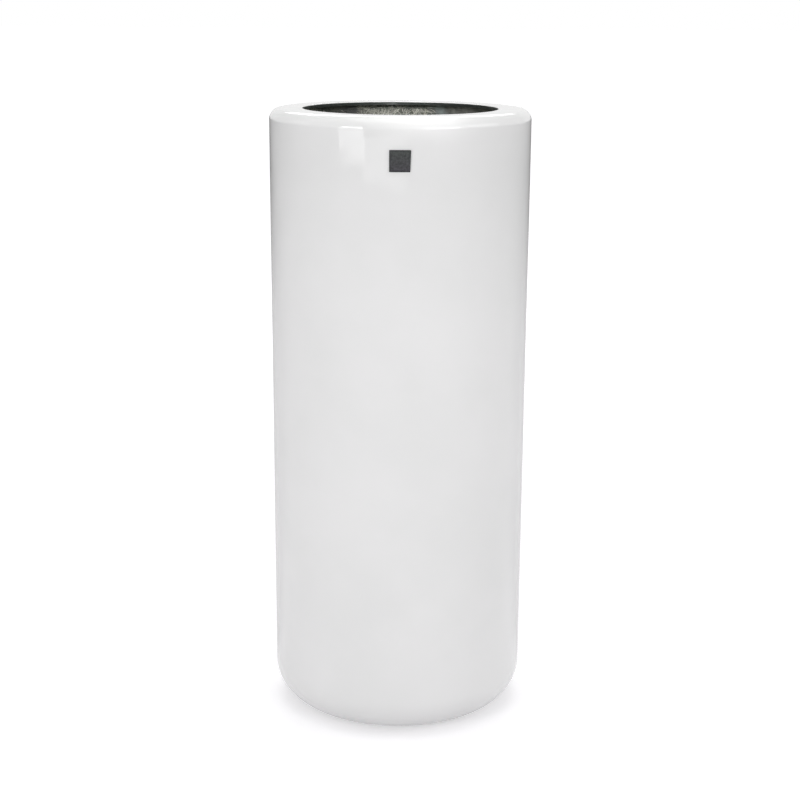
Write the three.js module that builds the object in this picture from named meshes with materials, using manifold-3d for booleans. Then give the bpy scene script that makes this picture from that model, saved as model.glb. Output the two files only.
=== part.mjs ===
// Tall round fibreglass planter, in millimetres, +Z up, label side towards -Y.
// The origin is on the vertical axis, at the level that the foot pads stand on.
// A glossy gelcoat skin lies over a moulded laminate shell whose rim and base turn inwards.
// The base panel is lowered in through the mouth and taped to the shell from the inside.
import * as THREE from 'three';
import { mergeVertices } from 'three/addons/utils/BufferGeometryUtils.js';
import Module from 'manifold-3d';

const wasm = await Module();
wasm.setup();

// Body
const OUTER_DIAMETER = 420;
const BODY_HEIGHT = 1000; // rim top down to the ring that carries the pads
const RIM_WIDTH = 53; // outside of the wall in to the edge of the mouth
const RIM_SHOULDER_RADIUS = 18;
const BASE_EDGE_RADIUS = 60;
const BASE_FLAT_WIDTH = 40; // flat ring underneath, from the rounded base edge inwards
const MOUTH_EDGE_BREAK = 0.8; // sanded edge of the skin round the mouth
const SKIN_THICKNESS = 1.2;
const LAMINATE_THICKNESS = 4.5;
const BOND_LINE = 0.3; // resin or paste between two bonded pieces

// Base panel and the laminate tape that joins it to the shell
const PANEL_THICKNESS = 6;
const PANEL_SETBACK = 4; // rounded base edge in to the edge of the panel
const TAPE_LAP = 20; // how far the tape lies over the panel
const TAPE_CLIMB = 80; // how far the tape climbs above the panel
const TAPE_THICKNESS = 3;
const TAPE_FILLET_RADIUS = 50;
const TAPE_EDGE_CHAMFER = 1.8;

// Drain fitting in the middle of the base panel
const DRAIN_BORE_DIAMETER = 22;
const BUSH_WALL = 4;
const BUSH_FLANGE_WIDTH = 9;
const BUSH_FLANGE_THICKNESS = 3;
const BUSH_FLANGE_CHAMFER = 1;
const BUSH_HOLE_CLEARANCE = 0.5;
const BUSH_TAIL = 0.6; // how far the bush shows below its nut
const SEAL_THICKNESS = 1.5;
const SEAL_OVERHANG = 1; // how far the seal shows round the bush flange
const NUT_ACROSS_FLATS = 42;
const NUT_THICKNESS = 4.5;
const NUT_CHAMFER = 1;
const NUT_THREAD_CLEARANCE = 0.3;

// Rubber plug, lifted out by its loop
const PLUG_STEM_LENGTH = 13;
const PLUG_STEM_TAPER = 0.8; // loss of radius over the stem's length
const PLUG_BORE_CLEARANCE = 0.3;
const PLUG_HEAD_DIAMETER = 32;
const PLUG_HEAD_THICKNESS = 3.5;
const PLUG_HEAD_CHAMFER = 1;
const PLUG_LOOP_DIAMETER = 17; // middle of the loop's cord
const PLUG_LOOP_THICKNESS = 4.4;
const PLUG_LOOP_SINK = 3; // how deep the loop's cord runs into the head

// Foot pads
const FOOT_PAD_COUNT = 4;
const FOOT_PAD_DIAMETER = 32;
const FOOT_PAD_HEIGHT = 4;
const FOOT_PAD_CHAMFER = 1;

// Blank label on the front
const LABEL_SIZE = 32.5;
const LABEL_THICKNESS = 0.8;
const LABEL_CORNER_RADIUS = 0.9;
const LABEL_DROP = 47.5; // rim top down to the label's upper edge
const LABEL_FILM_THICKNESS = 0.4; // double-sided adhesive film
const LABEL_FILM_MARGIN = 1; // label edge in to the film's edge
const LABEL_FILM_GAP = 0.15; // label to film

// Fineness of the facets
const SEGMENTS_AROUND_BODY = 64;
const SEGMENTS_AROUND_DRAIN = 32;
const SEGMENTS_AROUND_PAD = 24;
const SEGMENTS_PER_QUARTER_TURN = 6;
const LABEL_ARC_SEGMENTS = 8;
const LOOP_SEGMENTS_AROUND = 24;
const LOOP_CORD_SIDES = 10;

// Sizes and levels that follow from the values above
const OUTER_RADIUS = OUTER_DIAMETER / 2;
const MOUTH_RADIUS = OUTER_RADIUS - RIM_WIDTH;
const BASE_FLAT_OUTER_RADIUS = OUTER_RADIUS - BASE_EDGE_RADIUS;
const BASE_FLAT_INNER_RADIUS = BASE_FLAT_OUTER_RADIUS - BASE_FLAT_WIDTH;
const BODY_BOTTOM = FOOT_PAD_HEIGHT;
const BODY_TOP = BODY_BOTTOM + BODY_HEIGHT;
const SHELL_OUTSIDE_INSET = SKIN_THICKNESS + BOND_LINE;
const SHELL_INSIDE_INSET = SHELL_OUTSIDE_INSET + LAMINATE_THICKNESS;
const PANEL_RADIUS = BASE_FLAT_OUTER_RADIUS - PANEL_SETBACK;
const PANEL_UNDERSIDE = BODY_BOTTOM + SHELL_INSIDE_INSET + BOND_LINE;
const PANEL_TOP = PANEL_UNDERSIDE + PANEL_THICKNESS;
const BUSH_SLEEVE_RADIUS = DRAIN_BORE_DIAMETER / 2 + BUSH_WALL;
const BUSH_FLANGE_RADIUS = BUSH_SLEEVE_RADIUS + BUSH_FLANGE_WIDTH;
const DRAIN_HOLE_RADIUS = BUSH_SLEEVE_RADIUS + BUSH_HOLE_CLEARANCE;
const SEAL_RADIUS = BUSH_FLANGE_RADIUS + SEAL_OVERHANG;
const BUSH_FLANGE_UNDERSIDE = PANEL_TOP + SEAL_THICKNESS;
const BUSH_TOP = BUSH_FLANGE_UNDERSIDE + BUSH_FLANGE_THICKNESS;
const NUT_UNDERSIDE = PANEL_UNDERSIDE - NUT_THICKNESS;
const TAPE_END_RADIUS = PANEL_RADIUS - TAPE_LAP;
const FOOT_PAD_CIRCLE_RADIUS = (BASE_FLAT_INNER_RADIUS + BASE_FLAT_OUTER_RADIUS) / 2;

const QUARTER_TURN = Math.PI / 2;

// Materials
const gelcoatWhite = new THREE.MeshStandardMaterial({ color: 0xeeeeec, roughness: 0.12, metalness: 0 });
const rawLaminate = new THREE.MeshStandardMaterial({ color: 0x3c3f39, roughness: 0.55, metalness: 0 });
const panelLaminate = new THREE.MeshStandardMaterial({ color: 0x4a4b42, roughness: 0.6, metalness: 0 });
const tapeLaminate = new THREE.MeshStandardMaterial({ color: 0x5c5b4f, roughness: 0.5, metalness: 0 });
const drainPlastic = new THREE.MeshStandardMaterial({ color: 0x1d1e20, roughness: 0.4, metalness: 0 });
const softRubber = new THREE.MeshStandardMaterial({ color: 0x232323, roughness: 0.8, metalness: 0 });
const footRubber = new THREE.MeshStandardMaterial({ color: 0x2b2b2c, roughness: 0.85, metalness: 0 });
const labelMetal = new THREE.MeshStandardMaterial({ color: 0x53555a, roughness: 0.45, metalness: 0.6 });
const adhesiveFilm = new THREE.MeshStandardMaterial({ color: 0xb9b7b0, roughness: 0.7, metalness: 0 });

function point(radius, height) {
  return new THREE.Vector2(radius, height);
}

// Points of an arc in the radius-height plane, from one angle to the other.
function arcPoints(centreRadius, centreHeight, arcRadius, fromAngle, toAngle) {
  const turns = Math.abs(toAngle - fromAngle) / QUARTER_TURN;
  const steps = Math.max(1, Math.round(turns * SEGMENTS_PER_QUARTER_TURN));
  const points = [];
  for (let step = 0; step <= steps; step += 1) {
    const angle = fromAngle + ((toAngle - fromAngle) * step) / steps;
    const across = centreRadius + arcRadius * Math.cos(angle);
    const up = centreHeight + arcRadius * Math.sin(angle);
    points.push(point(across, up));
  }
  return points;
}

// A closed profile, turned about the vertical axis. Its outside runs upwards.
function turnProfile(profile, segmentsAround) {
  const geometry = new THREE.LatheGeometry(profile, segmentsAround);
  geometry.rotateX(QUARTER_TURN);
  return geometry;
}

function turnRing(profile, segmentsAround) {
  return turnProfile([...profile, profile[0].clone()], segmentsAround);
}

function toSolid(geometry) {
  const bare = geometry.clone();
  bare.deleteAttribute('normal');
  bare.deleteAttribute('uv');
  const merged = mergeVertices(bare);
  const vertProperties = new Float32Array(merged.getAttribute('position').array);
  const triVerts = new Uint32Array(merged.getIndex().array);
  return new wasm.Manifold(new wasm.Mesh({ numProp: 3, vertProperties, triVerts }));
}

function toGeometry(solid) {
  const mesh = solid.getMesh();
  const geometry = new THREE.BufferGeometry();
  geometry.setAttribute('position', new THREE.BufferAttribute(mesh.vertProperties, mesh.numProp));
  geometry.setIndex(new THREE.BufferAttribute(mesh.triVerts, 1));
  geometry.computeVertexNormals();
  return geometry;
}

function namedMesh(name, geometry, material) {
  const mesh = new THREE.Mesh(geometry, material);
  mesh.name = name;
  return mesh;
}

// The planter's outside, moved into the wall by inset: base ring, base edge, wall and shoulder.
// The last point is on the rim, straight above the edge of the mouth.
function bodyOutline(inset) {
  const base = BODY_BOTTOM + inset;
  const rim = BODY_TOP - inset;
  const baseEdgeCentre = point(BASE_FLAT_OUTER_RADIUS, BODY_BOTTOM + BASE_EDGE_RADIUS);
  const shoulderCentre = point(OUTER_RADIUS - RIM_SHOULDER_RADIUS, BODY_TOP - RIM_SHOULDER_RADIUS);
  const baseEdgeRadius = BASE_EDGE_RADIUS - inset;
  const shoulderRadius = RIM_SHOULDER_RADIUS - inset;
  return [
    point(BASE_FLAT_INNER_RADIUS, base),
    ...arcPoints(baseEdgeCentre.x, baseEdgeCentre.y, baseEdgeRadius, -QUARTER_TURN, 0),
    ...arcPoints(shoulderCentre.x, shoulderCentre.y, shoulderRadius, 0, QUARTER_TURN),
    point(MOUTH_RADIUS, rim),
  ];
}

function makeGelcoatSkin() {
  const outside = bodyOutline(0);
  const inside = bodyOutline(SKIN_THICKNESS).reverse();
  outside.pop();
  outside.push(point(MOUTH_RADIUS + MOUTH_EDGE_BREAK, BODY_TOP));
  outside.push(point(MOUTH_RADIUS, BODY_TOP - MOUTH_EDGE_BREAK));
  const geometry = turnRing([...outside, ...inside], SEGMENTS_AROUND_BODY);
  return namedMesh('gelcoat_skin', geometry, gelcoatWhite);
}

function makeLaminateShell() {
  const outside = bodyOutline(SHELL_OUTSIDE_INSET);
  const inside = bodyOutline(SHELL_INSIDE_INSET).reverse();
  const geometry = turnRing([...outside, ...inside], SEGMENTS_AROUND_BODY);
  return namedMesh('laminate_shell', geometry, rawLaminate);
}

// Two rings in the top face bound the open floor between the drain seal and the tape.
function makeBasePanel() {
  const profile = [
    point(DRAIN_HOLE_RADIUS, PANEL_UNDERSIDE),
    point(PANEL_RADIUS, PANEL_UNDERSIDE),
    point(PANEL_RADIUS, PANEL_TOP),
    point(TAPE_END_RADIUS - BOND_LINE, PANEL_TOP),
    point(SEAL_RADIUS + BOND_LINE, PANEL_TOP),
    point(DRAIN_HOLE_RADIUS, PANEL_TOP),
  ];
  return namedMesh('base_panel', turnRing(profile, SEGMENTS_AROUND_BODY), panelLaminate);
}

// Tape and filler in the corner between panel and wall. Below, it follows the panel's edge and
// the inside of the shell a bond line away. Above, it is a hollow fillet that runs out at both ends.
function makeBaseTape() {
  const shellInset = SHELL_INSIDE_INSET + BOND_LINE;
  const ringTop = BODY_BOTTOM + shellInset;
  const wallRadius = OUTER_RADIUS - shellInset;
  const tapeBed = PANEL_TOP + BOND_LINE;
  const tapeFloor = tapeBed + TAPE_THICKNESS;
  const tapeFace = wallRadius - TAPE_THICKNESS;
  const tapeTop = tapeBed + TAPE_CLIMB;
  const edgeCentre = point(BASE_FLAT_OUTER_RADIUS, BODY_BOTTOM + BASE_EDGE_RADIUS);
  const filletCentre = point(tapeFace - TAPE_FILLET_RADIUS, tapeFloor + TAPE_FILLET_RADIUS);
  const profile = [
    point(TAPE_END_RADIUS, tapeBed),
    point(PANEL_RADIUS + BOND_LINE, tapeBed),
    point(PANEL_RADIUS + BOND_LINE, ringTop),
    ...arcPoints(edgeCentre.x, edgeCentre.y, BASE_EDGE_RADIUS - shellInset, -QUARTER_TURN, 0),
    point(wallRadius, tapeTop),
    point(wallRadius - TAPE_THICKNESS + TAPE_EDGE_CHAMFER, tapeTop),
    point(tapeFace, tapeTop - TAPE_EDGE_CHAMFER),
    ...arcPoints(filletCentre.x, filletCentre.y, TAPE_FILLET_RADIUS, 0, -QUARTER_TURN),
    point(TAPE_END_RADIUS + TAPE_EDGE_CHAMFER, tapeFloor),
    point(TAPE_END_RADIUS, tapeFloor - TAPE_EDGE_CHAMFER),
  ];
  return namedMesh('base_bonding_tape', turnRing(profile, SEGMENTS_AROUND_BODY), tapeLaminate);
}

function makeDrainBush() {
  const bore = DRAIN_BORE_DIAMETER / 2;
  const tail = NUT_UNDERSIDE - BUSH_TAIL;
  const profile = [
    point(bore, tail),
    point(BUSH_SLEEVE_RADIUS, tail),
    point(BUSH_SLEEVE_RADIUS, BUSH_FLANGE_UNDERSIDE),
    point(BUSH_FLANGE_RADIUS, BUSH_FLANGE_UNDERSIDE),
    point(BUSH_FLANGE_RADIUS, BUSH_TOP - BUSH_FLANGE_CHAMFER),
    point(BUSH_FLANGE_RADIUS - BUSH_FLANGE_CHAMFER, BUSH_TOP),
    point(bore, BUSH_TOP),
  ];
  return namedMesh('drain_bush', turnRing(profile, SEGMENTS_AROUND_DRAIN), drainPlastic);
}

function makeDrainSeal() {
  const profile = [
    point(DRAIN_HOLE_RADIUS, PANEL_TOP),
    point(SEAL_RADIUS, PANEL_TOP),
    point(SEAL_RADIUS, BUSH_FLANGE_UNDERSIDE),
    point(DRAIN_HOLE_RADIUS, BUSH_FLANGE_UNDERSIDE),
  ];
  return namedMesh('drain_seal', turnRing(profile, SEGMENTS_AROUND_DRAIN), softRubber);
}

// Hexagon, turned off at its lower corners, with a clear hole for the bush's thread.
function makeDrainNut() {
  const cornerRadius = NUT_ACROSS_FLATS / Math.sqrt(3);
  const holeRadius = BUSH_SLEEVE_RADIUS + NUT_THREAD_CLEARANCE;
  const outline = new THREE.Shape();
  for (let corner = 0; corner < 6; corner += 1) {
    const angle = (corner * Math.PI) / 3;
    const x = cornerRadius * Math.cos(angle);
    const y = cornerRadius * Math.sin(angle);
    if (corner === 0) {
      outline.moveTo(x, y);
    } else {
      outline.lineTo(x, y);
    }
  }
  outline.closePath();
  const prism = new THREE.ExtrudeGeometry(outline, { depth: NUT_THICKNESS, bevelEnabled: false });
  const turned = turnRing(
    [
      point(holeRadius, 0),
      point(cornerRadius - NUT_CHAMFER, 0),
      point(cornerRadius, NUT_CHAMFER),
      point(cornerRadius, NUT_THICKNESS),
      point(holeRadius, NUT_THICKNESS),
    ],
    SEGMENTS_AROUND_DRAIN,
  );
  const solid = toSolid(prism).intersect(toSolid(turned));
  const nut = namedMesh('drain_lock_nut', toGeometry(solid), drainPlastic);
  nut.position.z = NUT_UNDERSIDE;
  return nut;
}

// Tapered stem, a head that rests on the bush, and a loop to pull it by. Height 0 is the seat.
function makeDrainPlug() {
  const stemTop = DRAIN_BORE_DIAMETER / 2 - PLUG_BORE_CLEARANCE;
  const stemTip = stemTop - PLUG_STEM_TAPER;
  const headRadius = PLUG_HEAD_DIAMETER / 2;
  const body = turnProfile(
    [
      point(0, -PLUG_STEM_LENGTH),
      point(stemTip - PLUG_HEAD_CHAMFER, -PLUG_STEM_LENGTH),
      point(stemTip, -PLUG_STEM_LENGTH + PLUG_HEAD_CHAMFER),
      point(stemTop, 0),
      point(headRadius, 0),
      point(headRadius, PLUG_HEAD_THICKNESS - PLUG_HEAD_CHAMFER),
      point(headRadius - PLUG_HEAD_CHAMFER, PLUG_HEAD_THICKNESS),
      point(0, PLUG_HEAD_THICKNESS),
    ],
    SEGMENTS_AROUND_DRAIN,
  );
  const loop = new THREE.TorusGeometry(
    PLUG_LOOP_DIAMETER / 2,
    PLUG_LOOP_THICKNESS / 2,
    LOOP_CORD_SIDES,
    LOOP_SEGMENTS_AROUND,
  );
  loop.rotateX(QUARTER_TURN);
  const loopOuterRadius = (PLUG_LOOP_DIAMETER + PLUG_LOOP_THICKNESS) / 2;
  loop.translate(0, 0, PLUG_HEAD_THICKNESS - PLUG_LOOP_SINK + loopOuterRadius);
  const plug = namedMesh('drain_plug', toGeometry(toSolid(body).add(toSolid(loop))), softRubber);
  plug.position.z = BUSH_TOP;
  return plug;
}

function makeFootPad(index) {
  const radius = FOOT_PAD_DIAMETER / 2;
  const profile = [
    point(0, 0),
    point(radius - FOOT_PAD_CHAMFER, 0),
    point(radius, FOOT_PAD_CHAMFER),
    point(radius, FOOT_PAD_HEIGHT),
    point(0, FOOT_PAD_HEIGHT),
  ];
  const geometry = turnProfile(profile, SEGMENTS_AROUND_PAD);
  const pad = namedMesh(`foot_pad_${index + 1}`, geometry, footRubber);
  const angle = ((index + 0.5) * 2 * Math.PI) / FOOT_PAD_COUNT;
  pad.position.x = FOOT_PAD_CIRCLE_RADIUS * Math.cos(angle);
  pad.position.y = FOOT_PAD_CIRCLE_RADIUS * Math.sin(angle);
  return pad;
}

// A square with round corners, bent to lie on the wall at -Y. Height 0 is its lower edge.
function bentSquare(name, size, cornerRadius, innerRadius, thickness, material) {
  const outerRadius = innerRadius + thickness;
  const halfAngle = Math.asin(size / 2 / innerRadius);
  const middle = -QUARTER_TURN;
  const band = new THREE.Shape();
  band.absarc(0, 0, outerRadius, middle - halfAngle, middle + halfAngle, false);
  band.absarc(0, 0, innerRadius, middle + halfAngle, middle - halfAngle, true);
  band.closePath();
  const bandSettings = { depth: size, bevelEnabled: false, curveSegments: LABEL_ARC_SEGMENTS };
  const bentBand = new THREE.ExtrudeGeometry(band, bandSettings);
  const half = size / 2;
  const straight = half - cornerRadius;
  const face = new THREE.Shape();
  face.absarc(straight, straight, cornerRadius, 0, QUARTER_TURN, false);
  face.absarc(-straight, straight, cornerRadius, QUARTER_TURN, 2 * QUARTER_TURN, false);
  face.absarc(-straight, -straight, cornerRadius, 2 * QUARTER_TURN, 3 * QUARTER_TURN, false);
  face.absarc(straight, -straight, cornerRadius, 3 * QUARTER_TURN, 4 * QUARTER_TURN, false);
  face.closePath();
  const cutterSettings = { depth: outerRadius, bevelEnabled: false, curveSegments: 4 };
  const cutter = new THREE.ExtrudeGeometry(face, cutterSettings);
  cutter.rotateX(QUARTER_TURN);
  cutter.translate(0, -outerRadius / 2, half);
  return namedMesh(name, toGeometry(toSolid(bentBand).intersect(toSolid(cutter))), material);
}

function makeLabel() {
  const filmSize = LABEL_SIZE - 2 * LABEL_FILM_MARGIN;
  const filmInside = OUTER_RADIUS + BOND_LINE;
  const labelInside = filmInside + LABEL_FILM_THICKNESS + LABEL_FILM_GAP;
  const corner = LABEL_CORNER_RADIUS;
  const film = bentSquare('label_adhesive', filmSize, corner, filmInside, LABEL_FILM_THICKNESS, adhesiveFilm);
  const plate = bentSquare('label_plate', LABEL_SIZE, corner, labelInside, LABEL_THICKNESS, labelMetal);
  film.position.z = LABEL_FILM_MARGIN;
  const label = new THREE.Group();
  label.add(film, plate);
  label.position.z = BODY_TOP - LABEL_DROP - LABEL_SIZE;
  return label;
}

const body = new THREE.Group();
body.add(makeGelcoatSkin(), makeLaminateShell(), makeBasePanel(), makeBaseTape(), makeLabel());

const drain = new THREE.Group();
drain.add(makeDrainBush(), makeDrainSeal(), makeDrainNut(), makeDrainPlug());

const feet = new THREE.Group();
for (let index = 0; index < FOOT_PAD_COUNT; index += 1) {
  feet.add(makeFootPad(index));
}

const planter = new THREE.Group();
planter.add(body, drain, feet);

export default planter;
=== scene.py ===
"""Looks of a tall round fibreglass planter: fine surfaces, materials, light and camera."""

import math

import bmesh
import bpy
import numpy as np
from mathutils import Matrix, Vector, noise


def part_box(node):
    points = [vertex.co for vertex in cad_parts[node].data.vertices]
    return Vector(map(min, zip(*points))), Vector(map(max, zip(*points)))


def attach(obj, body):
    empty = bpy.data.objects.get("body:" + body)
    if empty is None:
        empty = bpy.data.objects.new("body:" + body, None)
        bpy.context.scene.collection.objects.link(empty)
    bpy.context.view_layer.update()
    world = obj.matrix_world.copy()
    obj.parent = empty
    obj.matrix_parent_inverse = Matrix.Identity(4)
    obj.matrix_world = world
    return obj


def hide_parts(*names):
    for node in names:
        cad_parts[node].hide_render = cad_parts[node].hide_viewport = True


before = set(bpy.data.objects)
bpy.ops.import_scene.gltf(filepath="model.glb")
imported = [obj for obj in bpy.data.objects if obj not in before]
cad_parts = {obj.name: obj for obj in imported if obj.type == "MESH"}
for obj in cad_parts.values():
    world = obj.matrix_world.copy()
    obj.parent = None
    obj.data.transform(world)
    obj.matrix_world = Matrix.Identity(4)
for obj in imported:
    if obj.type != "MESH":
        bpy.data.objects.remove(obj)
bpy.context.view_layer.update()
MM = 0.001

# ---------------------------------------------------------------- sizes, in metres
skin_low, skin_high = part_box("gelcoat_skin")
OUTER_RADIUS = skin_high.x
BODY_TOP = skin_high.z
BODY_BOTTOM = skin_low.z
RIM_WIDTH = 53 * MM
RIM_SHOULDER_RADIUS = 18 * MM
BASE_EDGE_RADIUS = 60 * MM
BASE_FLAT_WIDTH = 40 * MM
MOUTH_EDGE_BREAK = 0.8 * MM
SKIN_THICKNESS = 1.2 * MM
LAMINATE_THICKNESS = 4.5 * MM
BOND_LINE = 0.3 * MM
MOUTH_RADIUS = OUTER_RADIUS - RIM_WIDTH
BASE_FLAT_OUTER_RADIUS = OUTER_RADIUS - BASE_EDGE_RADIUS
BASE_FLAT_INNER_RADIUS = BASE_FLAT_OUTER_RADIUS - BASE_FLAT_WIDTH
SHELL_OUTSIDE_INSET = SKIN_THICKNESS + BOND_LINE
SHELL_INSIDE_INSET = SHELL_OUTSIDE_INSET + LAMINATE_THICKNESS
INSIDE_RADIUS = OUTER_RADIUS - SHELL_INSIDE_INSET

panel_low, panel_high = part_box("base_panel")
PANEL_RADIUS = panel_high.x
PANEL_TOP = panel_high.z
PANEL_UNDERSIDE = panel_low.z

tape_low, tape_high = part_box("base_bonding_tape")
TAPE_TOP = tape_high.z
TAPE_LAP = 20 * MM
TAPE_THICKNESS = 3 * MM
TAPE_FILLET_RADIUS = 50 * MM

bush_low, bush_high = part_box("drain_bush")
seal_low, seal_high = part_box("drain_seal")
nut_low, nut_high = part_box("drain_lock_nut")
plug_low, plug_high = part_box("drain_plug")
BORE_RADIUS = 11 * MM
SLEEVE_RADIUS = 15 * MM
DRAIN_HOLE_RADIUS = 15.5 * MM
NUT_HOLE_RADIUS = 15.3 * MM
PLUG_HEAD_THICKNESS = 3.5 * MM
PLUG_LOOP_RADIUS = 8.5 * MM
PLUG_CORD_RADIUS = 2.2 * MM

plate_low, plate_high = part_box("label_plate")
film_low, film_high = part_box("label_adhesive")
LABEL_LIFT = 0.9 * MM
LABEL_THICKNESS = 0.5 * MM
LABEL_CORNER_RADIUS = 0.9 * MM
LABEL_SLANT = 1.3 * MM
FILM_LIFT = 0.02 * MM
FILM_THICKNESS = 0.7 * MM

QUARTER_TURN = math.pi / 2


# ---------------------------------------------------------------- mesh helpers
def arc(centre_radius, centre_height, radius, start, end, steps):
    """Points of an arc in the radius-height plane."""
    points = []
    for step in range(steps + 1):
        angle = start + (end - start) * step / steps
        across = centre_radius + radius * math.cos(angle)
        up = centre_height + radius * math.sin(angle)
        points.append((across, up))
    return points


def finer(points, longest):
    """The same line with no stretch longer than longest."""
    out = [points[0]]
    for (r0, z0), (r1, z1) in zip(points, points[1:]):
        pieces = max(1, math.ceil(math.hypot(r1 - r0, z1 - z0) / longest))
        for k in range(1, pieces + 1):
            out.append((r0 + (r1 - r0) * k / pieces, z0 + (z1 - z0) * k / pieces))
    return out


def link(name, data):
    obj = bpy.data.objects.new(name, data)
    bpy.context.scene.collection.objects.link(obj)
    return obj


def mesh_object(name, vertices, faces, smooth=True):
    mesh = bpy.data.meshes.new(name)
    mesh.from_pydata([tuple(v) for v in vertices], [], [tuple(f) for f in faces])
    mesh.update()
    if smooth:
        mesh.polygons.foreach_set("use_smooth", [True] * len(mesh.polygons))
    return link(name, mesh)


def sharpen(obj, degrees):
    """Smooth shading that breaks where faces meet at more than this angle."""
    obj.data.set_sharp_from_angle(angle=math.radians(degrees))


def turned(name, profile, segments, closed=True, shift=None):
    """A profile turned about the vertical axis. shift(r, z, angle, index) moves each point."""
    count = len(profile)
    vertices = []
    for k in range(segments):
        angle = 2 * math.pi * k / segments
        c, s = math.cos(angle), math.sin(angle)
        for index, (r, z) in enumerate(profile):
            if shift:
                r, z = shift(r, z, angle, index)
            vertices.append((r * c, r * s, z))
    faces = []
    last = count if closed else count - 1
    for k in range(segments):
        a = k * count
        b = ((k + 1) % segments) * count
        for i in range(last):
            j = (i + 1) % count
            faces.append((a + i, b + i, b + j, a + j))
    return mesh_object(name, vertices, faces)


def spot_at(r, z, angle):
    return Vector((r * math.cos(angle), r * math.sin(angle), z))


def lumps(spot, *waves):
    """Height of an uneven surface at a spot. Each wave has a height and a rate per metre."""
    return sum(height * noise.noise(spot * rate) for height, rate in waves)


def weld_axis(obj):
    """Joins the points that a turned profile leaves on the axis."""
    work = bmesh.new()
    work.from_mesh(obj.data)
    bmesh.ops.remove_doubles(work, verts=work.verts, dist=1e-6)
    bmesh.ops.dissolve_degenerate(work, edges=work.edges, dist=1e-7)
    work.to_mesh(obj.data)
    work.free()


def place(obj, body, slot, material, *nodes):
    obj.data.materials.append(material)
    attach(obj, body)
    if nodes:
        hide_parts(*nodes)
    return obj


# ---------------------------------------------------------------- material helpers
BUNDLE_DIRECTIONS = 5
BUNDLE_RATE_ALONG = 30.0
BUNDLE_RATE_ACROSS = 620.0
BUNDLE_CUT = 0.6
BUNDLE_EDGE = 0.05


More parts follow.
